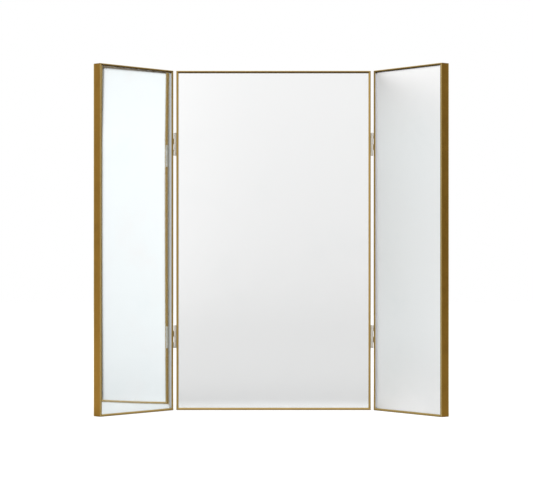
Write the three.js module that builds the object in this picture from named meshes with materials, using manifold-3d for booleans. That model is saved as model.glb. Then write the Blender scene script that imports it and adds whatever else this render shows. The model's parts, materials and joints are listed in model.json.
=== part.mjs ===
// Tri-fold dressing mirror: a wide centre mirror and two half-width wings, each a back-silvered
// glass in a thin brass frame, hinged so that the wings fold forward and close over the centre.
// Millimetres. X to the right, Y to the back, Z up. The origin is on the surface that it stands
// on, under the middle of the centre panel.
import * as THREE from 'three';
import { mergeVertices } from 'three/addons/utils/BufferGeometryUtils.js';
import Module from 'manifold-3d';

const wasm = await Module();
wasm.setup();

// Panels
const panelHeight = 600;
const centreWidth = 344;
const wingMeetGap = 2; // between the two wings when both lie closed over the centre
const leftFold = 47.5; // degrees that each wing stands forward of flat
const rightFold = 50.5;

// Rail section: u runs inwards from the outer side, v runs back from the front plane
const railDepth = 19;
const webThickness = 1.4; // outer side wall
const lipReach = 4; // front lip, the thin rim seen round the mirror
const lipThickness = 1;
const wallReach = 8.5; // the middle and back walls, from the outer side
const midWallThickness = 1;
const backWallThickness = 1.2;
const hookReach = 1.2; // return hooks on the key channel's mouth
const hookThickness = 1;
const backEdgeRadius = 2.5;
const backEdgeSteps = 5;
const mitreGap = 0.2; // each rail stops this far short of its mitre

// Sheets held in the rails' front pocket
const glassThickness = 3;
const boardThickness = 2.5;
const sheetClearance = 0.3; // in front of, between and behind the two sheets
const sheetEdgeClearance = 0.5; // between a sheet's edge and the web

// Corner keys in the rails' rear channel
const keyArm = 26; // along each rail, from the panel's outer corner
const keyThickness = 2.5;
const keyClearance = 0.3;

// Butt hinges on the rails' side faces, with their pins just in front of the mirrors
const hingeHeight = 40;
const hingeFromEnd = 130; // from a panel's top or bottom to the middle of a hinge
const axisProud = 1.8; // pin axis in front of the front plane
const knuckleCount = 4; // an even number, so that both leaves of a hinge are alike
const knuckleRadius = 2;
const knuckleGap = 0.3;
const leafThickness = 0.8;
const leafSeatGap = 0.15; // between a leaf and the side face that it is screwed to
const leafEdgeMargin = 0.2; // between a leaf's back edge and the rail's rounded back edge
const leafNotchClearance = 0.4; // round the other leaf's knuckles
const pinRadius = 1;
const pinClearance = 0.1;
const pinHeadRadius = 1.6;
const pinHeadHeight = 0.5;
const pinHeadTopRadius = 1;
const pinHeadGap = 0.1;
const roundSides = 20;

// Countersunk hinge screws, driven through the web into the key channel
const screwSpacing = 25; // up and down each leaf
const screwBehindWall = 2; // from the middle wall's back to the screw's axis
const screwLength = 6;
const screwHeadRadius = 2.2;
const screwHeadHeight = 1;
const screwSunk = 0.05; // head below the leaf's face
const screwRadius = 1.2;
const screwTipLength = 1.5;
const screwHoleClearance = 0.2;
const screwSides = 12;

// Worked out from the values above
const wingWidth = (centreWidth - wingMeetGap) / 2;
const glassFront = lipThickness + sheetClearance;
const boardFront = glassFront + glassThickness + sheetClearance;
const midWallFront = boardFront + boardThickness + sheetClearance;
const channelFront = midWallFront + midWallThickness;
const channelBack = railDepth - backWallThickness;
const frontPlane = -railDepth / 2;
const halfGap = knuckleRadius + leafSeatGap; // from a hinge's axis to each side face
const axisX = centreWidth / 2 + halfGap;
const axisY = frontPlane - axisProud;
const leafReach = axisProud + railDepth - backEdgeRadius - leafEdgeMargin;
const screwBack = channelFront + screwBehindWall; // screw axis behind the front plane
const hingeMiddles = { lower: hingeFromEnd, upper: panelHeight - hingeFromEnd };

const finishes = {
  brass: { color: 0x8c6b33, roughness: 0.38, metalness: 1 },
  mirror: { color: 0xe4e9ea, roughness: 0.02, metalness: 1 },
  hardboard: { color: 0x6a4a2d, roughness: 0.85, metalness: 0 },
  nickel: { color: 0x9c9b94, roughness: 0.35, metalness: 1 },
  aluminium: { color: 0xb9bbbd, roughness: 0.45, metalness: 1 },
};

function piece(name, geometry, finish) {
  const mesh = new THREE.Mesh(geometry, new THREE.MeshStandardMaterial(finishes[finish]));
  mesh.name = name;
  return mesh;
}

// A closed geometry as a solid for cutting and joining
function toSolid(geometry) {
  const bare = geometry.clone();
  bare.deleteAttribute('normal');
  bare.deleteAttribute('uv');
  const merged = mergeVertices(bare, 1e-4);
  return new wasm.Manifold(new wasm.Mesh({
    numProp: 3,
    vertProperties: merged.attributes.position.array,
    triVerts: new Uint32Array(merged.index.array),
  }));
}

function toGeometry(solid) {
  const { vertProperties, triVerts } = solid.getMesh();
  const geometry = new THREE.BufferGeometry();
  geometry.setAttribute('position', new THREE.BufferAttribute(vertProperties, 3));
  geometry.setIndex(new THREE.BufferAttribute(triVerts, 1));
  geometry.computeVertexNormals();
  return geometry;
}

function cut(geometry, cutters) {
  let solid = toSolid(geometry);
  for (const cutter of cutters) {
    solid = solid.subtract(toSolid(cutter));
  }
  return toGeometry(solid);
}

function join(geometries) {
  let solid = toSolid(geometries[0]);
  for (const geometry of geometries.slice(1)) {
    solid = solid.add(toSolid(geometry));
  }
  return toGeometry(solid);
}

function boxBetween(low, high) {
  const size = low.map((value, i) => high[i] - value);
  const middle = low.map((value, i) => (value + high[i]) / 2);
  return new THREE.BoxGeometry(...size).translate(...middle);
}

// A body of revolution about Z. Each point is [radius, height], from the bottom up outside.
function turned(points, sides) {
  const profile = points.map(([radius, height]) => new THREE.Vector2(radius, height));
  return new THREE.LatheGeometry(profile, sides).rotateX(Math.PI / 2);
}

// The rail's section, drawn with x as u and y as v
function railSection() {
  const shape = new THREE.Shape();
  shape.moveTo(0, 0);
  shape.lineTo(lipReach, 0);
  shape.lineTo(lipReach, lipThickness);
  shape.lineTo(webThickness, lipThickness);
  shape.lineTo(webThickness, midWallFront);
  shape.lineTo(wallReach, midWallFront);
  shape.lineTo(wallReach, channelFront + hookReach);
  shape.lineTo(wallReach - hookThickness, channelFront + hookReach);
  shape.lineTo(wallReach - hookThickness, channelFront);
  shape.lineTo(webThickness, channelFront);
  shape.lineTo(webThickness, channelBack);
  shape.lineTo(wallReach - hookThickness, channelBack);
  shape.lineTo(wallReach - hookThickness, channelBack - hookReach);
  shape.lineTo(wallReach, channelBack - hookReach);
  shape.lineTo(wallReach, railDepth);
  shape.lineTo(backEdgeRadius, railDepth);
  shape.absarc(backEdgeRadius, railDepth - backEdgeRadius, backEdgeRadius, Math.PI / 2, Math.PI);
  shape.lineTo(0, 0);
  return shape;
}

// A rail of the given outer length along Z, mitred at both ends
function railGeometry(length) {
  const options = { depth: length, bevelEnabled: false, curveSegments: backEdgeSteps };
  const geometry = new THREE.ExtrudeGeometry(railSection(), options);
  const place = geometry.attributes.position;
  for (let i = 0; i < place.count; i += 1) {
    const shortened = place.getX(i) + mitreGap;
    place.setZ(i, place.getZ(i) < length / 2 ? shortened : length - shortened);
  }
  return geometry;
}

// The hinge screws' holes through a rail's web
function screwHoleCutters() {
  const cutters = [];
  for (const middle of Object.values(hingeMiddles)) {
    for (const end of [-1, 1]) {
      const hole = new THREE.CylinderGeometry(
        screwRadius + screwHoleClearance,
        screwRadius + screwHoleClearance,
        2 * webThickness,
        screwSides,
      );
      hole.rotateZ(Math.PI / 2);
      hole.translate(webThickness / 2, screwBack, middle + end * screwSpacing / 2);
      cutters.push(hole);
    }
  }
  return cutters;
}

// An L-shaped key with its arms along +X and +Z from the panel's corner
function keyGeometry() {
  const outer = webThickness + keyClearance;
  const inner = outer + keyThickness;
  const shape = new THREE.Shape();
  shape.moveTo(outer, outer);
  shape.lineTo(keyArm, outer);
  shape.lineTo(keyArm, inner);
  shape.lineTo(inner, inner);
  shape.lineTo(inner, keyArm);
  shape.lineTo(outer, keyArm);
  const depth = channelBack - channelFront - 2 * keyClearance;
  const geometry = new THREE.ExtrudeGeometry(shape, { depth, bevelEnabled: false });
  return geometry.rotateX(Math.PI / 2).translate(0, channelBack - keyClearance, 0);
}

// A glass or a board, as large as the rails' pocket takes
function sheetGeometry(width, front, thickness) {
  const edge = webThickness + sheetEdgeClearance;
  return boxBetween(
    [edge, front, edge],
    [width - edge, front + thickness, panelHeight - edge],
  );
}

// A framed panel from x = 0 to its width, with its front plane at y = 0.
// hingedSides names the sides whose rails are drilled for hinge screws.
function makePanel(name, width, hingedSides) {
  const panel = new THREE.Group();
  const quarter = Math.PI / 2;
  const stations = [
    { side: 'left', corner: 'lower_left', turn: 0, x: 0, z: 0, length: panelHeight },
    { side: 'bottom', corner: 'lower_right', turn: -quarter, x: width, z: 0, length: width },
    { side: 'right', corner: 'upper_right', turn: Math.PI, x: width, z: panelHeight, length: panelHeight },
    { side: 'top', corner: 'upper_left', turn: quarter, x: 0, z: panelHeight, length: width },
  ];
  for (const { side, corner, turn, x, z, length } of stations) {
    const whole = railGeometry(length);
    const drilled = hingedSides.includes(side) ? cut(whole, screwHoleCutters()) : whole;
    const rail = piece(`${name}_${side}_rail`, drilled, 'brass');
    const key = piece(`${name}_${corner}_corner_key`, keyGeometry(), 'aluminium');
    for (const mesh of [rail, key]) {
      mesh.rotation.y = turn;
      mesh.position.set(x, 0, z);
      panel.add(mesh);
    }
  }
  const glass = sheetGeometry(width, glassFront, glassThickness);
  const board = sheetGeometry(width, boardFront, boardThickness);
  panel.add(piece(`${name}_mirror_glass`, glass, 'mirror'));
  panel.add(piece(`${name}_backboard`, board, 'hardboard'));
  return panel;
}

// A hinge leaf with its pin axis on Z from 0 to its height. Its plate lies on the -X side of
// the axis and reaches back, and every other knuckle is its own.
function leafGeometry() {
  const pitch = hingeHeight / knuckleCount;
  const plateStart = knuckleRadius + leafNotchClearance;
  const strapOverlap = 1; // how far each knuckle's strap runs into the plate
  const plate = boxBetween(
    [-knuckleRadius, plateStart, 0],
    [-knuckleRadius + leafThickness, leafReach, hingeHeight],
  );
  const parts = [plate];
  for (let i = 0; i < knuckleCount; i += 2) {
    const low = i * pitch + knuckleGap / 2;
    const high = (i + 1) * pitch - knuckleGap / 2;
    parts.push(knuckleGeometry(low, high));
    parts.push(boxBetween(
      [-knuckleRadius, 0, low],
      [-knuckleRadius + leafThickness, plateStart + strapOverlap, high],
    ));
  }
  return cut(join(parts), [countersink(-1), countersink(1)]);
}

function knuckleGeometry(low, high) {
  const bore = pinRadius + pinClearance;
  const corners = [[bore, low], [knuckleRadius, low], [knuckleRadius, high], [bore, high], [bore, low]];
  return turned(corners, roundSides);
}

// The cutter of a leaf's upper (1) or lower (-1) countersunk hole
function countersink(end) {
  const mouth = screwHeadRadius + screwHoleClearance;
  const past = 1; // beyond both faces of the leaf, on the same cone
  const cutter = new THREE.CylinderGeometry(
    mouth + past,
    mouth - leafThickness,
    leafThickness + past,
    screwSides,
  );
  cutter.rotateZ(-Math.PI / 2);
  cutter.translate(-knuckleRadius + (leafThickness + past) / 2, 0, 0);
  const through = new THREE.CylinderGeometry(
    mouth - leafThickness,
    mouth - leafThickness,
    2 * leafThickness,
    screwSides,
  );
  through.rotateZ(-Math.PI / 2);
  through.translate(-knuckleRadius, 0, 0);
  const height = hingeHeight / 2 + end * screwSpacing / 2;
  return join([cutter, through]).translate(0, axisProud + screwBack, height);
}

// A screw with its head's face at the origin and its shank along -X
function screwGeometry() {
  const profile = [
    [0, -screwLength],
    [screwRadius, -screwLength + screwTipLength],
    [screwRadius, -screwHeadHeight],
    [screwHeadRadius, 0],
    [0, 0],
  ];
  return turned(profile, screwSides).rotateY(Math.PI / 2);
}

// A leaf and its two screws. The leaf of a panel on the axis's +X side is turned over.
function makeLeafSet(name, onPlusX) {
  const set = new THREE.Group();
  set.add(piece(`${name}_leaf`, leafGeometry(), 'nickel'));
  for (const [label, end] of [['a', -1], ['b', 1]]) {
    const screw = piece(`${name}_screw_${label}`, screwGeometry(), 'nickel');
    screw.position.set(
      -knuckleRadius + leafThickness - screwSunk,
      axisProud + screwBack,
      hingeHeight / 2 + end * screwSpacing / 2,
    );
    set.add(screw);
  }
  if (onPlusX) {
    set.rotation.y = Math.PI;
    set.position.z = hingeHeight;
  }
  return set;
}

// A headed pin, riveted over at both ends
function pinGeometry() {
  const headLow = -pinHeadGap;
  const headHigh = hingeHeight + pinHeadGap;
  const profile = [
    [0, headLow - pinHeadHeight],
    [pinHeadTopRadius, headLow - pinHeadHeight],
    [pinHeadRadius, headLow - pinHeadHeight / 2],
    [pinHeadRadius, headLow],
    [pinRadius, headLow],
    [pinRadius, headHigh],
    [pinHeadRadius, headHigh],
    [pinHeadRadius, headHigh + pinHeadHeight / 2],
    [pinHeadTopRadius, headHigh + pinHeadHeight],
    [0, headHigh + pinHeadHeight],
  ];
  return turned(profile, roundSides);
}

// The two hinges of one wing: the wing's leaves go in its own group, the rest in the root
function addHinges(root, wing, side) {
  const wingOnPlusX = side === 'right';
  for (const [height, middle] of Object.entries(hingeMiddles)) {
    const name = `${side}_${height}_hinge`;
    const foot = middle - hingeHeight / 2;
    const wingSet = new THREE.Group();
    wingSet.position.set(0, 0, foot);
    wingSet.add(makeLeafSet(`${name}_wing`, wingOnPlusX));
    wing.add(wingSet);
    const centreSet = new THREE.Group();
    centreSet.position.set(wing.position.x, wing.position.y, foot);
    centreSet.add(makeLeafSet(`${name}_centre`, !wingOnPlusX));
    centreSet.add(piece(`${name}_pin`, pinGeometry(), 'nickel'));
    root.add(centreSet);
  }
}

// A wing's group turns about its hinges' axis
function makeWing(side) {
  const sign = side === 'right' ? 1 : -1;
  const fold = side === 'right' ? rightFold : leftFold;
  const wing = new THREE.Group();
  wing.position.set(sign * axisX, axisY, 0);
  wing.rotation.z = -sign * THREE.MathUtils.degToRad(fold);
  const hingedSide = side === 'right' ? 'left' : 'right';
  const panel = makePanel(`${side}_wing`, wingWidth, [hingedSide]);
  panel.position.set(side === 'right' ? halfGap : -halfGap - wingWidth, axisProud, 0);
  wing.add(panel);
  return wing;
}

function makeMirror() {
  const root = new THREE.Group();
  const centre = makePanel('centre', centreWidth, ['left', 'right']);
  centre.position.set(-centreWidth / 2, frontPlane, 0);
  root.add(centre);
  for (const side of ['left', 'right']) {
    const wing = makeWing(side);
    root.add(wing);
    addHinges(root, wing, side);
  }
  return root;
}

export default makeMirror();
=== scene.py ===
import json
import math

import bmesh
import bpy
from mathutils import Matrix, Vector


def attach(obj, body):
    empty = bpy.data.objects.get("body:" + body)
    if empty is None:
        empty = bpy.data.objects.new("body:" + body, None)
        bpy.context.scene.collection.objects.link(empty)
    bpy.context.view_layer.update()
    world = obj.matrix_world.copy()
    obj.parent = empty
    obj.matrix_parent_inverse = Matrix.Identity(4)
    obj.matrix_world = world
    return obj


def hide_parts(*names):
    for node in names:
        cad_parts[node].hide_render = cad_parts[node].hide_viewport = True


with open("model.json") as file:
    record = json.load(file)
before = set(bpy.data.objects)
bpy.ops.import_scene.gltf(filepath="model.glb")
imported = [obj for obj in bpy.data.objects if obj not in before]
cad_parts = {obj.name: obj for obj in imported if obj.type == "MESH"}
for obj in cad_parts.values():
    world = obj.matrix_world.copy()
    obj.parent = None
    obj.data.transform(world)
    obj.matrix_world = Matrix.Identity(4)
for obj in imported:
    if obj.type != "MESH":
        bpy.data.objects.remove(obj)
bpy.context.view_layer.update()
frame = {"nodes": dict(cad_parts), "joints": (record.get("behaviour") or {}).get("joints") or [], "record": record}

# Tri-fold dressing mirror: three mirrors in thin brass frames, hinged to fold forward.
# Metres, +Z up, the mirrors face -Y.

mm = 0.001
quarterTurn = math.pi / 2
bodyOf = {}
for bodyName, members in frame["record"]["behaviour"]["bodies"].items():
    for member in members:
        bodyOf[member] = bodyName
slotOf = {row["node"]: row["material_slot"] for row in frame["record"]["subparts"]}
hingeJoints = {"left_wing": frame["joints"][0], "right_wing": frame["joints"][1]}
panelSides = ("left", "bottom", "right", "top")
panelNames = ("centre", "left_wing", "right_wing")


# ---------- camera and room ----------

view = {
    "place": (0.030, -3.110, 0.278),
    "lens": 118.4,
    "shiftX": -0.0450,
    "shiftY": 0.0073,
}

room = {
    "floorRadius": 8.0,
    "fadeFrom": 1.2,
    "floorTone": 0.57,          # what the mirrors and the brass see of the floor
    "floorBright": 0.98,        # the same, lighter to the left of the mirrors, about halfway to it in front of them: a painted pool of light
    "floorGlow": 0.60,          # lifts the floor to near white as seen directly
    "floorShade": 0.50,
    "white": 1.0,
}


def makeCamera():
    lens = bpy.data.cameras.new("studioCamera")
    camera = bpy.data.objects.new("studioCamera", lens)
    bpy.context.scene.collection.objects.link(camera)
    camera.location = view["place"]
    camera.rotation_euler = (quarterTurn, 0, 0)
    lens.sensor_width = 36
    lens.lens = view["lens"]
    lens.shift_x = view["shiftX"]
    lens.shift_y = view["shiftY"]
    bpy.context.scene.camera = camera


def addNode(tree, kind, values=None, **settings):
    node = tree.nodes.new(kind)
    for key, value in settings.items():
        setattr(node, key, value)
    for key, value in (values or {}).items():
        node.inputs[key].default_value = value
    return node


def join(tree, *pairs):
    for start, end in pairs:
        tree.links.new(start, end)


def makeFloor():
    # a round pale floor that fades into the light tent well away from the mirrors
    bm = bmesh.new()
    bmesh.ops.create_circle(bm, cap_ends=True, segments=96, radius=room["floorRadius"])
    mesh = bpy.data.meshes.new("studioFloor")
    bm.to_mesh(mesh)
    bm.free()
    floor = bpy.data.objects.new("studioFloor", mesh)
    floor.location.z = -0.0002
    bpy.context.scene.collection.objects.link(floor)
    material = bpy.data.materials.new("paleFloor")
    material.use_nodes = True
    tree = material.node_tree
    tree.nodes.clear()
    output = addNode(tree, "ShaderNodeOutputMaterial")
    path = addNode(tree, "ShaderNodeLightPath")
    place = addNode(tree, "ShaderNodeTexCoord").outputs["Object"]
    split = addNode(tree, "ShaderNodeSeparateXYZ")
    # a painted pool of light: the floor's colour, as the mirrors and the brass see it, is lighter to the left of the
    # mirrors and in front of them
    leftward = addNode(tree, "ShaderNodeMath", {1: -1.0}, operation="MULTIPLY")
    spread = addNode(tree, "ShaderNodeMath", {1: 0.085}, operation="MULTIPLY_ADD")
    beside = addNode(tree, "ShaderNodeMapRange", {"From Min": 0.22, "From Max": 0.45},
                     interpolation_type="SMOOTHSTEP")
    near = addNode(tree, "ShaderNodeMapRange", {"From Min": -0.20, "From Max": -0.10, "To Max": 0.55},
                   interpolation_type="SMOOTHSTEP")
    lit = addNode(tree, "ShaderNodeMath", operation="MAXIMUM")
    tone = addNode(tree, "ShaderNodeMapRange", {"To Min": room["floorTone"], "To Max": room["floorBright"]})
    matt = addNode(tree, "ShaderNodeBsdfDiffuse")
    join(tree,
         (place, split.inputs[0]),
         (split.outputs["X"], leftward.inputs[0]),
         (split.outputs["Y"], spread.inputs[0]),
         (leftward.outputs[0], spread.inputs[2]),
         (spread.outputs[0], beside.inputs[0]),
         (split.outputs["Y"], near.inputs[0]),
         (beside.outputs[0], lit.inputs[0]),
         (near.outputs[0], lit.inputs[1]),
         (lit.outputs[0], tone.inputs[0]),
         (tone.outputs[0], matt.inputs["Color"]))
    shade = room["floorShade"]
    seen = addNode(tree, "ShaderNodeBsdfDiffuse", {"Color": (shade, shade, shade, 1)})
    glow = addNode(tree, "ShaderNodeEmission", {"Strength": room["floorGlow"]})
    both = addNode(tree, "ShaderNodeAddShader")
    pick = addNode(tree, "ShaderNodeMixShader")
    clear = addNode(tree, "ShaderNodeBsdfTransparent")
    reach = addNode(tree, "ShaderNodeVectorMath", operation="LENGTH")
    fade = addNode(tree, "ShaderNodeMapRange", {
        "From Min": room["fadeFrom"], "From Max": room["floorRadius"] * 0.95}, interpolation_type="SMOOTHSTEP")
    whole = addNode(tree, "ShaderNodeMixShader")
    join(tree,
         (seen.outputs[0], both.inputs[0]),
         (glow.outputs[0], both.inputs[1]),
         (path.outputs["Is Camera Ray"], pick.inputs[0]),
         (matt.outputs[0], pick.inputs[1]),
         (both.outputs[0], pick.inputs[2]),
         (place, reach.inputs[0]),
         (reach.outputs["Value"], fade.inputs[0]),
         (fade.outputs[0], whole.inputs[0]),
         (pick.outputs[0], whole.inputs[1]),
         (clear.outputs[0], whole.inputs[2]),
         (whole.outputs[0], output.inputs[0]))
    mesh.materials.append(material)


# The light tent: brightness of the surroundings by direction. Across runs from left to right,
# upward from straight down to straight up.
tent = {
    "acrossStops": ((0.0, 1.20), (0.25, 1.38), (0.365, 1.38), (0.43, 1.36), (0.465, 1.05), (0.48, 1.0), (0.525, 0.96),
                    (0.58, 1.08), (0.64, 1.16), (0.80, 1.12), (1.0, 1.08)),
    "upwardStops": ((0.0, 0.83), (0.455, 0.83), (0.50, 0.925), (0.56, 1.01), (0.75, 1.10), (1.0, 1.0)),
    "tint": (1.012, 1.0, 0.995),
    # dark cards: direction, how close to it they are full and gone, and their tone
    "cards": (((0.965, -0.26, -0.05), 0.990, 0.940, 0.20), ((-0.95, -0.32, -0.05), 0.990, 0.925, 0.27)),
}


def makeRamp(tree, value, low, high, stopList):
    # a brightness read off a row of (position, tone) stops
    reach = addNode(tree, "ShaderNodeMapRange", {"From Min": low, "From Max": high})
    ramp = addNode(tree, "ShaderNodeValToRGB")
    stops = ramp.color_ramp.elements
    stops[0].position, stops[1].position = stopList[0][0], stopList[-1][0]
    for at, tone in stopList[1:-1]:
        stops.new(at)
    for stop, (at, tone) in zip(stops, stopList):
        stop.color = (tone, tone, tone, 1)
    join(tree, (value, reach.inputs[0]), (reach.outputs[0], ramp.inputs[0]))
    return ramp.outputs[0]


def makeTent():
    world = bpy.data.worlds.new("lightTent")
    bpy.context.scene.world = world
    world.use_nodes = True
    tree = world.node_tree
    tree.nodes.clear()
    output = addNode(tree, "ShaderNodeOutputWorld")
    place = addNode(tree, "ShaderNodeTexCoord")
    split = addNode(tree, "ShaderNodeSeparateXYZ")
    join(tree, (place.outputs["Generated"], split.inputs[0]))

    across = makeRamp(tree, split.outputs["X"], -1.0, 1.0, tent["acrossStops"])
    upward = makeRamp(tree, split.outputs["Z"], -1.0, 1.0, tent["upwardStops"])
    total = addNode(tree, "ShaderNodeMath", operation="MULTIPLY")
    join(tree, (across, total.inputs[0]), (upward, total.inputs[1]))

    # dark cards to the front right and front left give the side faces their depth
    brightness = total.outputs[0]
    for direction, near, far, tone in tent["cards"]:
        toward = addNode(tree, "ShaderNodeVectorMath", operation="DOT_PRODUCT")
        toward.inputs[1].default_value = Vector(direction).normalized()
        card = addNode(tree, "ShaderNodeMapRange", {
            "From Min": far, "From Max": near, "To Min": 1.0, "To Max": tone}, interpolation_type="SMOOTHSTEP")
        dimmed = addNode(tree, "ShaderNodeMath", operation="MULTIPLY")
        join(tree,
             (place.outputs["Generated"], toward.inputs[0]),
             (toward.outputs["Value"], card.inputs[0]),
             (brightness, dimmed.inputs[0]),
             (card.outputs[0], dimmed.inputs[1]))
        brightness = dimmed.outputs[0]

    around = addNode(tree, "ShaderNodeBackground", {"Color": (*tent["tint"], 1)})
    white = addNode(tree, "ShaderNodeBackground", {"Color": (1, 1, 1, 1), "Strength": room["white"]})
    path = addNode(tree, "ShaderNodeLightPath")
    pick = addNode(tree, "ShaderNodeMixShader")
    join(tree,
         (brightness, around.inputs["Strength"]),
         (path.outputs["Is Camera Ray"], pick.inputs[0]),
         (around.outputs[0], pick.inputs[1]),
         (white.outputs[0], pick.inputs[2]),
         (pick.outputs[0], output.inputs[0]))


def makeTopLight():
    lamp = bpy.data.lights.new("topSoftbox", "AREA")
    lamp.shape = "RECTANGLE"
    lamp.size, lamp.size_y = 2.4, 1.6
    lamp.energy = 18
    light = bpy.data.objects.new("topSoftbox", lamp)
    light.location = (-0.7, -1.4, 2.6)
    light.rotation_euler = (Vector((0, 0, 0.3)) - light.location).to_track_quat("-Z", "Y").to_euler()
    bpy.context.scene.collection.objects.link(light)


makeCamera()
makeFloor()
makeTent()
makeTopLight()
bpy.context.scene.view_settings.view_transform = "Standard"
print("camera, floor and light tent are up")


# ---------- shared surface effects, as node groups ----------

def startGroup(name, inputs, outputs):
    tree = bpy.data.node_groups.new(name, "ShaderNodeTree")
    for label, kind, value in inputs:
        socket = tree.interface.new_socket(name=label, in_out="INPUT", socket_type=kind)
        if value is not None:
            socket.default_value = value
    for label, kind in outputs:
        tree.interface.new_socket(name=label, in_out="OUTPUT", socket_type=kind)
    return tree, addNode(tree, "NodeGroupInput"), addNode(tree, "NodeGroupOutput")


number, arrow, tint = "NodeSocketFloat", "NodeSocketVector", "NodeSocketColor"


def makeBrushing():
    # fine lines along the first axis of the incoming place
    tree, start, end = startGroup(
        "fineBrushing",
        [("Place", arrow, None), ("Along", number, 6.0), ("Across", number, 3000.0)],
        [("Lines", number), ("Streaks", number)])
    stretch = addNode(tree, "ShaderNodeCombineXYZ")
    scaled = addNode(tree, "ShaderNodeVectorMath", operation="MULTIPLY")
    lines = addNode(tree, "ShaderNodeTexNoise", {"Scale": 1.0, "Detail": 3.0, "Roughness": 0.65})
    wider = addNode(tree, "ShaderNodeVectorMath", operation="MULTIPLY")
    wider.inputs[1].default_value = (0.35, 0.12, 0.12)
    streaks = addNode(tree, "ShaderNodeTexNoise", {"Scale": 1.0, "Detail": 2.0})
    join(tree,
         (start.outputs["Along"], stretch.inputs[0]),
         (start.outputs["Across"], stretch.inputs[1]),
         (start.outputs["Across"], stretch.inputs[2]),
         (start.outputs["Place"], scaled.inputs[0]),
         (stretch.outputs[0], scaled.inputs[1]),
         (scaled.outputs[0], lines.inputs["Vector"]),
         (scaled.outputs[0], wider.inputs[0]),
         (wider.outputs[0], streaks.inputs["Vector"]),
         (lines.outputs[0], end.inputs["Lines"]),
         (streaks.outputs[0], end.inputs["Streaks"]))
    return tree


def makeMottling():
    # cloudy patches of tarnish, thumb marks or dust
    tree, start, end = startGroup(
        "cloudyMottling",
        [("Place", arrow, None), ("Size", number, 30.0), ("From", number, 0.45), ("To", number, 0.7)],
        [("Patches", number)])
    clouds = addNode(tree, "ShaderNodeTexNoise", {"Detail": 5.0, "Roughness": 0.6, "Distortion": 0.4})
    cut = addNode(tree, "ShaderNodeMapRange", interpolation_type="SMOOTHSTEP")
    join(tree,
         (start.outputs["Place"], clouds.inputs["Vector"]),
         (start.outputs["Size"], clouds.inputs["Scale"]),
         (clouds.outputs[0], cut.inputs[0]),
         (start.outputs["From"], cut.inputs["From Min"]),
         (start.outputs["To"], cut.inputs["From Max"]),
         (cut.outputs[0], end.inputs["Patches"]))
    return tree


def makeEdgeWear():
    # rubbed edges: the mesh's own edge mark, broken up by noise
    tree, start, end = startGroup(
        "rubbedEdges",
        [("Place", arrow, None), ("Size", number, 220.0), ("Amount", number, 0.8)],
        [("Wear", number)])
    mark = addNode(tree, "ShaderNodeAttribute", attribute_name="edge")
    chips = addNode(tree, "ShaderNodeTexNoise", {"Detail": 4.0, "Roughness": 0.7})
    spread = addNode(tree, "ShaderNodeMapRange", {"From Min": 0.35, "From Max": 0.65, "To Min": 0.55})
    worn = addNode(tree, "ShaderNodeMath", operation="MULTIPLY")
    amount = addNode(tree, "ShaderNodeMath", operation="MULTIPLY")
    join(tree,
         (start.outputs["Place"], chips.inputs["Vector"]),
         (start.outputs["Size"], chips.inputs["Scale"]),
         (chips.outputs[0], spread.inputs[0]),
         (spread.outputs[0], worn.inputs[0]),
         (mark.outputs["Fac"], worn.inputs[1]),
         (worn.outputs[0], amount.inputs[0]),
         (start.outputs["Amount"], amount.inputs[1]),
         (amount.outputs[0], end.inputs["Wear"]))
    return tree


groups = {"brushing": makeBrushing(), "mottling": makeMottling(), "wear": makeEdgeWear()}


def useGroup(tree, name, place, values):
    node = tree.nodes.new("ShaderNodeGroup")
    node.node_tree = groups[name]
    tree.links.new(place, node.inputs["Place"])
    for key, value in values.items():
        node.inputs[key].default_value = value
    return node


def blendColours(tree, mask, first, second, mode="MIX"):
    # first and second are colours or sockets
    mix = addNode(tree, "ShaderNodeMix", data_type="RGBA", blend_type=mode)
    tree.links.new(mask, mix.inputs[0])
    for value, socket in ((first, mix.inputs[6]), (second, mix.inputs[7])):
        if isinstance(value, tuple):
            socket.default_value = (*value, 1)
        else:
            tree.links.new(value, socket)
    return mix.outputs[2]


def scaleValue(tree, value, low, high):
    # a 0-1 value to low-high
    reach = addNode(tree, "ShaderNodeMapRange", {"To Min": low, "To Max": high})
    tree.links.new(value, reach.inputs[0])
    return reach.outputs[0]


def addValues(tree, *values):
    total = values[0]
    for value in values[1:]:
        step = addNode(tree, "ShaderNodeMath", operation="ADD")
        join(tree, (total, step.inputs[0]), (value, step.inputs[1]))
        total = step.outputs[0]
    return total


def startMaterial(name, placeKind, values):
    material = bpy.data.materials.new(name)
    material.use_nodes = True
    tree = material.node_tree
    skin = tree.nodes["Principled BSDF"]
    for key, value in values.items():
        skin.inputs[key].default_value = value
    place = addNode(tree, "ShaderNodeTexCoord").outputs[placeKind]
    return material, tree, skin, place


def addBump(tree, skin, height, depth, strength=1.0):
    bump = addNode(tree, "ShaderNodeBump", {"Distance": depth, "Strength": strength})
    join(tree, (height, bump.inputs["Height"]), (bump.outputs[0], skin.inputs["Normal"]))


# ---------- materials ----------

brassLook = {
    "deep": (0.270, 0.146, 0.020),
    "dull": (0.190, 0.100, 0.013),
    # rubbed brass: edge wear, and on the lip's front face partly a painted highlight
    "rubbed": (0.58, 0.50, 0.23),
    "recess": (0.60, 0.62, 0.66),       # the glass edge behind the lip, as a painted reflection: the brass pocket wall coloured the pale grey the mirror shows there
    "shaded": (0.045, 0.032, 0.022),    # the same on the outer rails, where it lies in shade
    "under": (0.060, 0.034, 0.010),     # painted shade: darker brass on faces that look down
    "over": (0.56, 0.42, 0.17),         # and a painted highlight: lighter brass on faces that look up
    "rough": 0.27,
    "coat": 0.06,
    "coatRough": 0.14,
}


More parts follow.
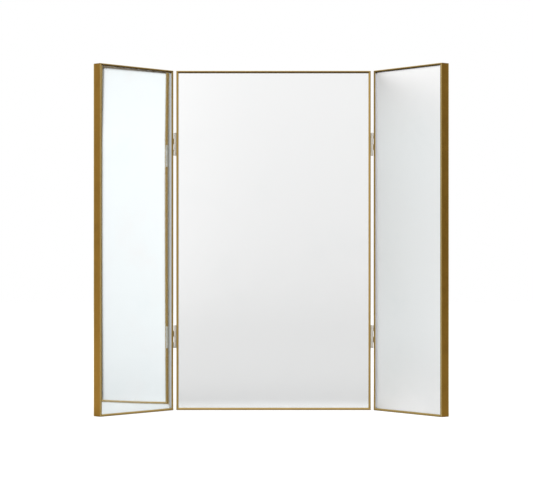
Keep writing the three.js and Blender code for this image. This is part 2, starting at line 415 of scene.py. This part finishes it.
def makeBrass():
    look = brassLook
    material, tree, skin, place = startMaterial("lacqueredBrass", "UV", {
        "Metallic": 1.0, "Coat Weight": look["coat"], "Coat Roughness": look["coatRough"], "Coat IOR": 1.5})
    brushed = useGroup(tree, "brushing", place, {"Along": 9.0, "Across": 3800.0})
    tarnish = useGroup(tree, "mottling", place, {"Size": 26.0, "From": 0.42, "To": 0.74})
    marks = useGroup(tree, "mottling", place, {"Size": 95.0, "From": 0.5, "To": 0.72})
    wear = useGroup(tree, "wear", place, {"Size": 520.0, "Amount": 0.85})
    colour = blendColours(tree, scaleValue(tree, tarnish.outputs[0], 0.0, 0.5), look["deep"], look["dull"])
    colour = blendColours(tree, scaleValue(tree, brushed.outputs["Streaks"], 0.0, 0.3), colour, look["dull"])
    # the rubbed colour: edge wear, and on the lip's front face partly a painted highlight
    colour = blendColours(tree, wear.outputs[0], colour, look["rubbed"])
    # painted light and shade by facing: faces that look down are darkened, faces that look up are lightened
    facing = addNode(tree, "ShaderNodeSeparateXYZ")
    tree.links.new(addNode(tree, "ShaderNodeTexCoord").outputs["Normal"], facing.inputs[0])
    under = addNode(tree, "ShaderNodeMapRange", {"From Min": -0.03, "From Max": -0.20})
    over = addNode(tree, "ShaderNodeMapRange", {"From Min": 0.05, "From Max": 0.4, "To Max": 0.6})
    join(tree, (facing.outputs["Z"], under.inputs[0]), (facing.outputs["Z"], over.inputs[0]))
    colour = blendColours(tree, under.outputs[0], colour, look["under"])
    colour = blendColours(tree, over.outputs[0], colour, look["over"])
    # painted reflection on the pocket walls behind the lip, with painted shade over it on the shaded rails
    pocket = addNode(tree, "ShaderNodeAttribute", attribute_name="recess")
    colour = blendColours(tree, pocket.outputs["Fac"], colour, look["recess"])
    shade = addNode(tree, "ShaderNodeAttribute", attribute_name="shade")
    colour = blendColours(tree, shade.outputs["Fac"], colour, look["shaded"])
    rough = addValues(tree,
                      scaleValue(tree, brushed.outputs["Lines"], look["rough"] - 0.05, look["rough"] + 0.09),
                      scaleValue(tree, marks.outputs[0], 0.0, 0.10))
    join(tree, (colour, skin.inputs["Base Color"]), (rough, skin.inputs["Roughness"]))
    addBump(tree, skin, brushed.outputs["Lines"], 0.02 * mm, 0.35)
    return material


silverLook = {
    "silver": {"centre": (0.893, 0.908, 0.912), "left_wing": (0.862, 0.918, 0.930),
               "right_wing": (0.912, 0.918, 0.922)},
    "smeared": (0.86, 0.88, 0.885),
    "haze": {"centre": 0.14, "left_wing": 0.03, "right_wing": 0.34},    # 0.02 is a freshly polished glass
    "bowed": ("left_wing",),                # the glasses that are not quite flat
    "lowerBow": (0.110, 0.469, 0.0385),     # leans back below, by this slope, and less and less up to here
    "upperBow": (0.480, 0.600, -0.070),     # and leans forward above
    "bowAcross": (-0.174, -0.288, 1.0, 0.71),
    "turn": (0.0020, 0.0036),               # how far the bowed glass turns to the hinges, near and far from them
}


def makeSilver(panel):
    look = silverLook
    haze = look["haze"][panel]
    material, tree, skin, place = startMaterial(f"silveredGlass_{panel}", "Object", {
        "Metallic": 1.0, "Coat Weight": 1.0, "Coat IOR": 1.52})
    smears = useGroup(tree, "mottling", place, {"Size": 9.0, "From": 0.5, "To": 0.85})
    dust = useGroup(tree, "mottling", place, {"Size": 160.0, "From": 0.6, "To": 0.8})
    colour = blendColours(tree, smears.outputs[0], look["silver"][panel], look["smeared"])
    rough = addValues(tree,
                      scaleValue(tree, smears.outputs[0], haze, haze + 0.015),
                      scaleValue(tree, dust.outputs[0], 0.0, 0.01))
    coatRough = scaleValue(tree, smears.outputs[0], haze, haze + 0.015)
    if panel in look["bowed"]:
        split = addNode(tree, "ShaderNodeSeparateXYZ")
        low, high, slope = look["lowerBow"]
        below = addNode(tree, "ShaderNodeMapRange", {"From Min": low, "From Max": high, "To Min": slope, "To Max": 0.0})
        low, high, slope = look["upperBow"]
        above = addNode(tree, "ShaderNodeMapRange", {"From Min": low, "From Max": high, "To Min": 0.0, "To Max": slope})
        near, far, full, less = look["bowAcross"]
        across = addNode(tree, "ShaderNodeMapRange", {
            "From Min": near, "From Max": far, "To Min": full, "To Max": less})
        lean = addNode(tree, "ShaderNodeMath", operation="MULTIPLY_ADD")
        low, high = look["turn"]
        turn = addNode(tree, "ShaderNodeMapRange", {"From Min": near, "From Max": far, "To Min": low, "To Max": high})
        upright = addNode(tree, "ShaderNodeCombineXYZ")
        facing = addNode(tree, "ShaderNodeNewGeometry")
        along = addNode(tree, "ShaderNodeVectorMath", operation="CROSS_PRODUCT")
        along.inputs[0].default_value = (0, 0, 1)
        turned = addNode(tree, "ShaderNodeVectorMath", operation="MULTIPLY_ADD")
        leaning = addNode(tree, "ShaderNodeVectorMath", operation="ADD")
        level = addNode(tree, "ShaderNodeVectorMath", operation="NORMALIZE")
        join(tree,
             (place, split.inputs[0]),
             (split.outputs["Z"], below.inputs[0]),
             (split.outputs["Z"], above.inputs[0]),
             (split.outputs["X"], across.inputs[0]),
             (below.outputs[0], lean.inputs[0]),
             (across.outputs[0], lean.inputs[1]),
             (above.outputs[0], lean.inputs[2]),
             (lean.outputs[0], upright.inputs["Z"]),
             (split.outputs["X"], turn.inputs[0]),
             (facing.outputs["Normal"], along.inputs[1]),
             (along.outputs[0], turned.inputs[0]),
             (turn.outputs[0], turned.inputs[1]),
             (facing.outputs["Normal"], turned.inputs[2]),
             (turned.outputs[0], leaning.inputs[0]),
             (upright.outputs[0], leaning.inputs[1]),
             (leaning.outputs[0], level.inputs[0]),
             (level.outputs[0], skin.inputs["Normal"]),
             (level.outputs[0], skin.inputs["Coat Normal"]))
    join(tree,
         (colour, skin.inputs["Base Color"]),
         (rough, skin.inputs["Roughness"]),
         (coatRough, skin.inputs["Coat Roughness"]))
    return material


nickelLook = {
    "plate": (0.60, 0.58, 0.53),
    "dull": (0.38, 0.365, 0.33),
    "rubbed": (0.74, 0.72, 0.66),
    "rough": 0.30,
}


def makeNickel():
    look = nickelLook
    material, tree, skin, place = startMaterial("satinNickel", "Object", {"Metallic": 1.0})
    turned = addNode(tree, "ShaderNodeMapping")
    turned.inputs["Rotation"].default_value = (0, quarterTurn, 0)
    tree.links.new(place, turned.inputs[0])
    upright = turned.outputs[0]
    brushed = useGroup(tree, "brushing", upright, {"Along": 60.0, "Across": 5200.0})
    grime = useGroup(tree, "mottling", place, {"Size": 210.0, "From": 0.45, "To": 0.75})
    wear = useGroup(tree, "wear", place, {"Size": 600.0, "Amount": 0.9})
    colour = blendColours(tree, grime.outputs[0], look["plate"], look["dull"])
    colour = blendColours(tree, wear.outputs[0], colour, look["rubbed"])
    rough = addValues(tree,
                      scaleValue(tree, brushed.outputs["Lines"], look["rough"] - 0.06, look["rough"] + 0.1),
                      scaleValue(tree, grime.outputs[0], 0.0, 0.12))
    join(tree, (colour, skin.inputs["Base Color"]), (rough, skin.inputs["Roughness"]))
    addBump(tree, skin, brushed.outputs["Lines"], 0.02 * mm, 0.4)
    return material


boardLook = {
    "brown": (0.165, 0.085, 0.038),
    "light": (0.235, 0.135, 0.065),
    "dark": (0.095, 0.046, 0.02),
    "meshPitch": 1.1 * mm,      # the screen's imprint on the board's rough side
}


def makeHardboard():
    look = boardLook
    material, tree, skin, place = startMaterial("brownHardboard", "Object", {
        "Specular IOR Level": 0.35, "Coat Weight": 0.0})
    fibres = addNode(tree, "ShaderNodeTexNoise", {"Scale": 420.0, "Detail": 8.0, "Roughness": 0.75})
    clumps = useGroup(tree, "mottling", place, {"Size": 38.0, "From": 0.35, "To": 0.75})
    stains = useGroup(tree, "mottling", place, {"Size": 7.0, "From": 0.5, "To": 0.75})
    screen = addNode(tree, "ShaderNodeTexWave", {"Scale": 0.1 / look["meshPitch"], "Distortion": 0.6,
                                                 "Detail": 2.0}, bands_direction="DIAGONAL")
    rows = addNode(tree, "ShaderNodeTexWave", {"Scale": 0.314 / look["meshPitch"], "Distortion": 0.4,
                                               "Detail": 2.0}, bands_direction="Z")
    weave = addNode(tree, "ShaderNodeMath", operation="MULTIPLY")
    join(tree,
         (place, fibres.inputs["Vector"]),
         (place, screen.inputs["Vector"]),
         (place, rows.inputs["Vector"]),
         (screen.outputs["Fac"], weave.inputs[0]),
         (rows.outputs["Fac"], weave.inputs[1]))
    spread = addNode(tree, "ShaderNodeMapRange", {"From Min": 0.3, "From Max": 0.7})
    tree.links.new(fibres.outputs[0], spread.inputs[0])
    colour = blendColours(tree, spread.outputs[0], look["brown"], look["light"])
    colour = blendColours(tree, scaleValue(tree, clumps.outputs[0], 0.0, 0.26), colour, look["dark"])
    colour = blendColours(tree, scaleValue(tree, stains.outputs[0], 0.0, 0.2), colour, look["dark"])
    rough = scaleValue(tree, fibres.outputs[0], 0.6, 0.95)
    join(tree, (colour, skin.inputs["Base Color"]), (rough, skin.inputs["Roughness"]))
    addBump(tree, skin, addValues(tree, weave.outputs[0], spread.outputs[0]), 0.06 * mm, 0.6)
    return material


def makeAluminium():
    material, tree, skin, place = startMaterial("millAluminium", "Object", {"Metallic": 1.0})
    brushed = useGroup(tree, "brushing", place, {"Along": 90.0, "Across": 2200.0})
    oxide = useGroup(tree, "mottling", place, {"Size": 140.0, "From": 0.4, "To": 0.75})
    colour = blendColours(tree, oxide.outputs[0], (0.55, 0.56, 0.57), (0.38, 0.385, 0.39))
    rough = scaleValue(tree, brushed.outputs["Lines"], 0.34, 0.56)
    join(tree, (colour, skin.inputs["Base Color"]), (rough, skin.inputs["Roughness"]))
    addBump(tree, skin, brushed.outputs["Lines"], 0.03 * mm, 0.5)
    return material


finish = {
    "brass_frame": makeBrass(),
    "mirror": {panel: makeSilver(panel) for panel in panelNames},
    "hardboard": makeHardboard(),
    "hinge_metal": makeNickel(),
    "corner_keys": makeAluminium(),
}
print("finishes mixed")


def finishFor(node):
    made = finish[slotOf[node]]
    if isinstance(made, dict):
        return next(made[panel] for panel in panelNames if node.startswith(panel))
    return made


# ---------- mesh tools ----------

def roundedOutline(corners, support=0.5 * mm):
    # corners are (x, y, radius, steps, marks). Returns (x, y, marks) points: marks are how rubbed and
    # how recessed the metal is there, the rubbed mark on the lip's front face partly a painted highlight; round
    # stretches are always rubbed unless recessed.
    points = []
    count = len(corners)
    for i, (x, y, radius, steps, marks) in enumerate(corners):
        here = Vector((x, y))
        if not radius:
            points.append((x, y, marks))
            continue
        back = (Vector(corners[i - 1][:2]) - here)
        ahead = (Vector(corners[(i + 1) % count][:2]) - here)
        half = back.angle(ahead) / 2
        run = radius / math.tan(half)
        middle = here + (back.normalized() + ahead.normalized()).normalized() * radius / math.sin(half)
        first = here + back.normalized() * run - middle
        turn = first.angle_signed(here + ahead.normalized() * run - middle)
        if back.length > run + 2 * support:
            points.append((*(here + back.normalized() * (run + support)), corners[i - 1][4]))
        for step in range(steps + 1):
            spot = middle + Matrix.Rotation(-turn * step / steps, 2) @ first
            points.append((spot.x, spot.y, (max(marks[0], 1.0 - marks[1]), marks[1])))
        if ahead.length > run + 2 * support:
            points.append((*(here + ahead.normalized() * (run + support)), marks))
    return points


def layStrip(bm, rings, closedEnds=True):
    # joins rings of equal length into a closed skin, with UVs in metres
    uvLayer = bm.loops.layers.uv.verify()
    count = len(rings[0])
    around = [0.0]
    for i in range(count):
        around.append(around[-1] + (rings[0][(i + 1) % count].co.xy - rings[0][i].co.xy).length)
    for low, high in zip(rings, rings[1:]):
        for i in range(count):
            j = (i + 1) % count
            face = bm.faces.new((low[i], low[j], high[j], high[i]))
            for loop, across in zip(face.loops, (around[i], around[i + 1], around[i + 1], around[i])):
                loop[uvLayer].uv = (loop.vert.co.z, across)
    if closedEnds:
        for ring in (list(reversed(rings[0])), rings[-1]):
            cap = bm.faces.new(ring)
            for loop in cap.loops:
                loop[uvLayer].uv = (loop.vert.co.z + loop.vert.co.x, loop.vert.co.y)
            bmesh.ops.triangulate(bm, faces=[cap])


def moveUv(bm, shift):
    uvLayer = bm.loops.layers.uv.verify()
    for face in bm.faces:
        for loop in face.loops:
            loop[uvLayer].uv = loop[uvLayer].uv + Vector(shift)


def toMesh(bm, name, sharpDegrees=32):
    bmesh.ops.recalc_face_normals(bm, faces=bm.faces)
    mesh = bpy.data.meshes.new(name)
    bm.to_mesh(mesh)
    bm.free()
    mesh.polygons.foreach_set("use_smooth", [True] * len(mesh.polygons))
    mesh.set_sharp_from_angle(angle=math.radians(sharpDegrees))
    return mesh


def placePiece(name, mesh, node, matrix=None):
    # puts a finished mesh where it stands for a CAD node
    if matrix is not None:
        mesh = mesh.copy()
        mesh.transform(matrix)
        if matrix.to_3x3().determinant() < 0:
            mesh.flip_normals()
    mesh.name = name
    piece = bpy.data.objects.new(name, mesh)
    bpy.context.scene.collection.objects.link(piece)
    mesh.materials.clear()
    mesh.materials.append(finishFor(node))
    weighted = piece.modifiers.new("flatShading", "WEIGHTED_NORMAL")
    weighted.keep_sharp = True
    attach(piece, bodyOf[node])
    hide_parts(node)
    return piece


def boundsIn(names, matrix):
    # lowest and highest corner of CAD nodes in a frame of their own
    back = matrix.inverted()
    spots = [back @ vertex.co for name in names for vertex in frame["nodes"][name].data.vertices]
    low = Vector([min(spot[i] for spot in spots) for i in range(3)])
    high = Vector([max(spot[i] for spot in spots) for i in range(3)])
    return low, high


# ---------- the three framed panels ----------

glass = {
    "front": 3.3 * mm,      # the silver, as deep as it looks through the glass
    "arris": 0.3 * mm,
}

rail = {
    "lip": 4.0 * mm,
    "lipThickness": 1.0 * mm,
    "crown": 0.55 * mm,         # how far the lip falls back towards the mirror
    "crownPeak": 0.2,           # where across the lip it stands highest
    "crownSteps": 8,
    "crownWearAndHighlight": 0.34,            # how bright the front face is made: handling wear, and partly a painted highlight
    "web": 1.4 * mm,
    "reach": 8.5 * mm,
    "midWall": (7.4 * mm, 8.4 * mm),
    "backWall": 1.2 * mm,
    "hook": 1.2 * mm,
    "hookThickness": 1.0 * mm,
    "backRadius": 2.9 * mm,
    "edgeRadius": 0.35 * mm,
    "smallRadius": 0.18 * mm,
    "mitreGap": 0.05 * mm,
    "ringsAt": (0.012, 0.03, 0.25, 0.5),
    "shaded": {"left_wing_left_rail": 1.0, "right_wing_right_rail": 0.8,
               "left_wing_top_rail": 0.8, "right_wing_top_rail": 0.6, "centre_top_rail": 0.5,
               "centre_left_rail": 0.5, "centre_right_rail": 0.5},
}


def wingFrame(panel):
    # the frame that turns with a wing about its pins
    joint = hingeJoints[panel]
    x, y, z = joint["pos_m"]
    fold = math.radians(-joint["range_deg"][0]) * joint["axis"][2]
    return Matrix.Translation((x, y, 0)) @ Matrix.Rotation(fold, 4, "Z")


def panelFrame(panel):
    # x from 0 to the panel's width, y from its front plane back, z up
    turned = wingFrame(panel) if panel in hingeJoints else Matrix.Identity(4)
    low, high = boundsIn([f"{panel}_{side}_rail" for side in panelSides], turned)
    return turned @ Matrix.Translation((low.x, low.y, 0)), high - low


def railCorners(depth):
    r = rail
    small, steps = r["smallRadius"], 3
    plain, crown, hidden = (0.0, 0.0), (r["crownWearAndHighlight"], 0.0), (0.0, 1.0)
    corners = []
    for i in range(r["crownSteps"] + 1):
        share = i / r["crownSteps"]
        radius = r["edgeRadius"] if i == 0 else small if i == r["crownSteps"] else 0
        fall = r["crown"] * ((share - r["crownPeak"]) / (1 - r["crownPeak"])) ** 2
        corners.append((r["lip"] * share, fall, radius, 4, crown))
    midFront, midBack = r["midWall"]
    channelBack = depth - r["backWall"]
    inner = r["reach"] - r["hookThickness"]
    corners += [
        (r["lip"], r["lipThickness"], 0, 0, plain),
        (r["lip"], r["lipThickness"] + 0.05 * mm, 0, 0, hidden),
        (r["lip"], glass["front"] - 0.1 * mm, 0, 0, hidden),
        (r["web"], glass["front"] - 0.1 * mm, 0, 0, hidden),
        (r["web"], midFront, 0, 0, hidden),
        (r["reach"], midFront, small, steps, plain),
        (r["reach"], midBack + r["hook"], small, steps, plain),
        (inner, midBack + r["hook"], small, steps, plain),
        (inner, midBack, 0, 0, plain),
        (r["web"], midBack, 0, 0, plain),
        (r["web"], channelBack, 0, 0, plain),
        (inner, channelBack, 0, 0, plain),
        (inner, channelBack - r["hook"], small, steps, plain),
        (r["reach"], channelBack - r["hook"], small, steps, plain),
        (r["reach"], depth, r["edgeRadius"], 4, plain),
        (0, depth, r["backRadius"], 10, plain),
    ]
    return corners


def makeRailMesh(length, depth, shade):
    bm = bmesh.new()
    edgeLayer = bm.verts.layers.float.new("edge")
    recessLayer = bm.verts.layers.float.new("recess")
    shadeLayer = bm.verts.layers.float.new("shade")
    outline = roundedOutline(railCorners(depth))
    near = [share if share < 0.1 else share * length for share in rail["ringsAt"]]
    stations = sorted(set(near + [length - z for z in near]))
    gap = rail["mitreGap"]
    rings = []
    heights = [lambda u: u + gap]
    heights += [lambda u, z=z: z for z in stations]
    heights += [lambda u: length - u - gap]
    for height in heights:
        ring = []
        for u, v, (edge, recess) in outline:
            vert = bm.verts.new((u, v, height(u)))
            vert[edgeLayer] = edge
            vert[recessLayer] = recess
            vert[shadeLayer] = recess * shade
            ring.append(vert)
        rings.append(ring)
    layStrip(bm, rings)
    return bm


def makeRails(panel, place, size):
    stations = {
        "left": (0, 0, 0, size.z),
        "bottom": (-quarterTurn, size.x, 0, size.x),
        "right": (math.pi, size.x, size.z, size.z),
        "top": (quarterTurn, 0, size.z, size.x),
    }
    for index, (side, (turn, x, z, length)) in enumerate(stations.items()):
        node = f"{panel}_{side}_rail"
        bm = makeRailMesh(length, size.y, rail["shaded"].get(node, 0.0))
        moveUv(bm, (0.31 * index + size.x, 0.17 * index))
        stand = place @ Matrix.Translation((x, 0, z)) @ Matrix.Rotation(turn, 4, "Y")
        bmesh.ops.transform(bm, matrix=stand, verts=bm.verts)
        placePiece(f"{node}_brass", toMesh(bm, node), node)


def makeSlab(low, high, arris):
    bm = bmesh.new()
    bmesh.ops.create_cube(bm, size=1.0)
    fit = Matrix.Translation((low + high) / 2) @ Matrix.Diagonal((*(high - low), 1))
    bmesh.ops.transform(bm, matrix=fit, verts=bm.verts)
    bmesh.ops.bevel(bm, geom=bm.edges[:], offset=arris, segments=2, profile=0.5, affect="EDGES")
    return bm


def makeMirror(panel, place, size):
    node = f"{panel}_mirror_glass"
    cadLow, cadHigh = boundsIn([node], place)
    low = Vector((cadLow.x, glass["front"], cadLow.z))
    bm = makeSlab(low, cadHigh, glass["arris"])
    bmesh.ops.transform(bm, matrix=place, verts=bm.verts)
    placePiece(f"{node}_silvered", toMesh(bm, node), node)


def finishHiddenParts(panel):
    # the board and the corner keys keep their CAD shape
    for name, part in frame["nodes"].items():
        if name.startswith(panel) and slotOf[name] in ("hardboard", "corner_keys"):
            part.data.materials.clear()
            part.data.materials.append(finishFor(name))


for panel in panelNames:
    place, size = panelFrame(panel)
    makeRails(panel, place, size)
    makeMirror(panel, place, size)
    finishHiddenParts(panel)
    print(f"{panel}: {size.x * 1000:.0f} x {size.z * 1000:.0f} mm framed")


# ---------- hinges ----------

hinge = {
    "radius": 1.7 * mm,
    "sheet": 0.75 * mm,
    "sheetFace": -2.12 * mm,    # the leaf's outer face, just off the rail
    "knuckles": 4,
    "knuckleGap": 0.16 * mm,
    "rollEnd": 126,             # degrees at which the rolled sheet stops short of the leaf
    "rollSteps": 30,
    "plateStart": 2.4 * mm,
    "cornerRadius": 2.0 * mm,
    "bevel": 0.1 * mm,
    "holeRadius": 2.32 * mm,
}

screw = {
    "head": 2.2 * mm,
    "shank": 1.2 * mm,
    "length": 6.0 * mm,
    "slotReach": 1.35 * mm,
    "slotWidth": 0.62 * mm,
    "slotDepth": 0.75 * mm,
}

pin = {"radius": 0.9 * mm, "head": 1.5 * mm, "dome": 0.55 * mm, "steps": 7}


def prism(outline, low, high, bevel, axis="Z"):
    # a bevelled prism of a 2D outline, drawn in XY and raised along Z
    bm = bmesh.new()
    ring = [bm.verts.new((x, y, low)) for x, y in outline]
    face = bm.faces.new(ring)
    raised = bmesh.ops.extrude_face_region(bm, geom=[face])
    tops = [item for item in raised["geom"] if isinstance(item, bmesh.types.BMVert)]
    bmesh.ops.translate(bm, verts=tops, vec=(0, 0, high - low))
    bmesh.ops.recalc_face_normals(bm, faces=bm.faces)
    if bevel:
        rims = [edge for edge in bm.edges if edge.calc_face_angle(0) > 1.0]
        bmesh.ops.bevel(bm, geom=rims, offset=bevel, segments=2, profile=0.6, affect="EDGES",
                        clamp_overlap=True)
    return bm


def arc(radius, startDegrees, endDegrees, steps):
    for i in range(steps + 1):
        angle = math.radians(startDegrees + (endDegrees - startDegrees) * i / steps)
        yield radius * math.cos(angle), radius * math.sin(angle)


def rollOutline(strapEnd):
    # the leaf's sheet, rolled round the pin and back to the leaf
    h = hinge
    outer = h["radius"]
    inner = outer - h["sheet"]
    face = h["sheetFace"]
    stop = h["rollEnd"] - 360
    points = [(face, strapEnd), (face, 0.0)]
    points += list(arc(outer, -180 + 8, stop + 360, h["rollSteps"]))
    points += list(arc(inner, stop + 360, -180, h["rollSteps"] - 6))
    points += [(face + h["sheet"], strapEnd)]
    return points


def plateOutline(reach, height):
    # seen flat: y across, z up, with straps at this leaf's own knuckles
    h = hinge
    pitch = height / h["knuckles"]
    start = h["plateStart"]
    radius = h["cornerRadius"]
    points = []
    for i in range(h["knuckles"]):
        low, high = i * pitch, (i + 1) * pitch
        ends = start - 1.2 * mm if i % 2 == 0 else start
        trim = h["knuckleGap"] / 2
        lowTrim = 0 if i == 0 else trim if i % 2 == 0 else -trim
        highTrim = 0 if i == h["knuckles"] - 1 else trim if i % 2 == 0 else -trim
        points += [(ends, low + lowTrim), (ends, high - highTrim)]
    for x, y in arc(radius, 90, 0, 6):
        points.append((reach - radius + x, height - radius + y))
    for x, y in arc(radius, 0, -90, 6):
        points.append((reach - radius + x, radius + y))
    return points


def toObject(bm):
    bmesh.ops.recalc_face_normals(bm, faces=bm.faces)
    mesh = bpy.data.meshes.new("making")
    bm.to_mesh(mesh)
    bm.free()
    making = bpy.data.objects.new("making", mesh)
    bpy.context.scene.collection.objects.link(making)
    return making


def combine(base, others, operation):
    # joins or cuts closed meshes, and clears the helpers away
    making = toObject(base)
    helpers = [toObject(other) for other in others]
    for helper in helpers:
        step = making.modifiers.new("step", "BOOLEAN")
        step.operation = operation
        step.object = helper
        step.solver = "EXACT"
    bpy.context.view_layer.update()
    settled = making.evaluated_get(bpy.context.evaluated_depsgraph_get())
    bm = bmesh.new()
    bm.from_mesh(settled.to_mesh())
    settled.to_mesh_clear()
    for helper in helpers + [making]:
        bpy.data.objects.remove(helper)
    return bm


def markEdges(bm, sharpDegrees=20):
    # marks the narrow bevel faces' corners as edges, for the rubbed look
    edgeLayer = bm.verts.layers.float.get("edge") or bm.verts.layers.float.new("edge")
    for vert in bm.verts:
        bend = max((edge.calc_face_angle(0) for edge in vert.link_edges), default=0)
        vert[edgeLayer] = 1.0 if bend > math.radians(sharpDegrees) else 0.0


def makeLeafMesh(reach, height, screwSpots):
    h = hinge
    # plate drawn in (y, z) and raised along x
    flat = prism(plateOutline(reach, height), 0, h["sheet"], h["bevel"])
    stand = Matrix(((0, 0, 1, h["sheetFace"]), (1, 0, 0, 0), (0, 1, 0, 0), (0, 0, 0, 1)))
    bmesh.ops.transform(flat, matrix=stand, verts=flat.verts)
    pitch = height / h["knuckles"]
    trim = h["knuckleGap"] / 2
    rolls = []
    for i in range(0, h["knuckles"], 2):
        low = i * pitch + (0 if i == 0 else trim)
        rolls.append(prism(rollOutline(h["plateStart"] + 0.3 * mm), low, (i + 1) * pitch - trim, h["bevel"]))
    whole = combine(flat, rolls, "UNION")
    holes = []
    for y, z in screwSpots:
        hole = bmesh.new()
        bmesh.ops.create_cone(hole, cap_ends=True, segments=32, radius1=h["holeRadius"],
                              radius2=h["holeRadius"], depth=4 * h["sheet"])
        bmesh.ops.transform(hole, verts=hole.verts, matrix=Matrix.Translation((h["sheetFace"], y, z))
                            @ Matrix.Rotation(quarterTurn, 4, "Y"))
        holes.append(hole)
    drilled = combine(whole, holes, "DIFFERENCE")
    bmesh.ops.remove_doubles(drilled, verts=drilled.verts, dist=0.002 * mm)
    markEdges(drilled)
    return toMesh(drilled, "hingeLeaf", 28)


def lathe(profile, sides=32):
    # turns (radius, height) points about Z into a closed body
    bm = bmesh.new()
    edgeVerts = [bm.verts.new((radius, 0, height)) for radius, height in profile]
    edges = [bm.edges.new(pair) for pair in zip(edgeVerts, edgeVerts[1:])]
    bmesh.ops.spin(bm, geom=edgeVerts + edges, axis=(0, 0, 1), cent=(0, 0, 0),
                   angle=math.tau, steps=sides, use_duplicate=False)
    bmesh.ops.remove_doubles(bm, verts=bm.verts, dist=0.001 * mm)
    bmesh.ops.recalc_face_normals(bm, faces=bm.faces)
    return bm


def makeScrewMesh():
    s = screw
    profile = [(0, -s["length"]), (s["shank"] * 0.35, -s["length"] + 0.5 * mm),
               (s["shank"], -s["length"] + 1.6 * mm)]
    thread = -s["length"] + 1.6 * mm
    while thread < -1.9 * mm:
        profile += [(s["shank"] * 0.82, thread + 0.3 * mm), (s["shank"], thread + 0.6 * mm)]
        thread += 0.6 * mm
    profile += [(s["shank"], -0.95 * mm), (s["head"] - 0.05 * mm, -0.12 * mm), (s["head"], -0.05 * mm),
                (s["head"] - 0.05 * mm, 0.0), (s["head"] * 0.55, 0.1 * mm), (0, 0.14 * mm)]
    head = lathe(profile)
    cuts = []
    for turn in (0, quarterTurn):
        blade = bmesh.new()
        bmesh.ops.create_cube(blade, size=1.0)
        for vert in blade.verts:
            slim = 1.0 if vert.co.z > 0 else 0.45
            vert.co.x *= 2 * s["slotReach"] * slim
            vert.co.y *= s["slotWidth"] * (0.6 + 0.4 * slim)
            vert.co.z *= 2 * s["slotDepth"]
        bmesh.ops.rotate(blade, verts=blade.verts, cent=(0, 0, 0), matrix=Matrix.Rotation(turn, 3, "Z"))
        cuts.append(blade)
    cut = combine(head, cuts, "DIFFERENCE")
    markEdges(cut, 35)
    return toMesh(cut, "hingeScrew", 30)


def makePinMesh(height):
    p = pin
    def dome(sign, base):
        for i in range(p["steps"] + 1):
            angle = quarterTurn * i / p["steps"]
            yield p["head"] * math.cos(angle), base + sign * p["dome"] * math.sin(angle)
    low, high = -0.05 * mm, height + 0.05 * mm
    profile = list(reversed(list(dome(-1, low)))) + [(p["radius"], low), (p["radius"], high)]
    profile += list(dome(1, high))
    bm = lathe([(max(radius, 0), z) for radius, z in profile])
    markEdges(bm, 40)
    return toMesh(bm, "hingePin", 30)


def hingeSetFrame(side, height, part):
    # pin axis on Z from the hinge's foot, the leaf lying on -X and reaching +Y
    wing = f"{side}_wing"
    turned = wingFrame(wing)
    if part == "centre":
        turned = Matrix.Translation(turned.to_translation())
    low, high = boundsIn([f"{side}_{height}_hinge_{part}_leaf"], turned)
    foot = Matrix.Translation((0, 0, low.z))
    leafOnPlusX = high.x > -low.x
    if leafOnPlusX:
        foot = Matrix.Translation((0, 0, high.z)) @ Matrix.Rotation(math.pi, 4, "Y")
    return turned @ foot


def makeHinges():
    first = hingeSetFrame("left", "lower", "wing")
    low, high = boundsIn(["left_lower_hinge_wing_leaf"], first)
    screwSpots, faceX = [], 0.0
    for letter in "ab":
        screwLow, screwHigh = boundsIn([f"left_lower_hinge_wing_screw_{letter}"], first)
        middle = (screwLow + screwHigh) / 2
        screwSpots.append((middle.y, middle.z))
        faceX = screwHigh.x
    leafMesh = makeLeafMesh(high.y, high.z, screwSpots)
    screwMesh = makeScrewMesh()
    pinMesh = makePinMesh(high.z)
    turnCount = 0
    for side in ("left", "right"):
        for height in ("lower", "upper"):
            for part in ("centre", "wing"):
                name = f"{side}_{height}_hinge_{part}"
                stand = hingeSetFrame(side, height, part)
                placePiece(f"{name}_leaf_rolled", leafMesh, f"{name}_leaf", stand)
                for letter, (y, z) in zip("ab", screwSpots):
                    turnCount += 1
                    seat = Matrix.Translation((faceX, y, z)) @ Matrix.Rotation(quarterTurn, 4, "Y")
                    driven = seat @ Matrix.Rotation(math.radians(37 * turnCount), 4, "Z")
                    node = f"{name}_screw_{letter}"
                    placePiece(f"{node}_crosshead", screwMesh, node, stand @ driven)
            node = f"{side}_{height}_hinge_pin"
            stand = hingeSetFrame(side, height, "centre")
            placePiece(f"{node}_domed", pinMesh, node, stand)


makeHinges()
print("hinges rolled, pinned and screwed")
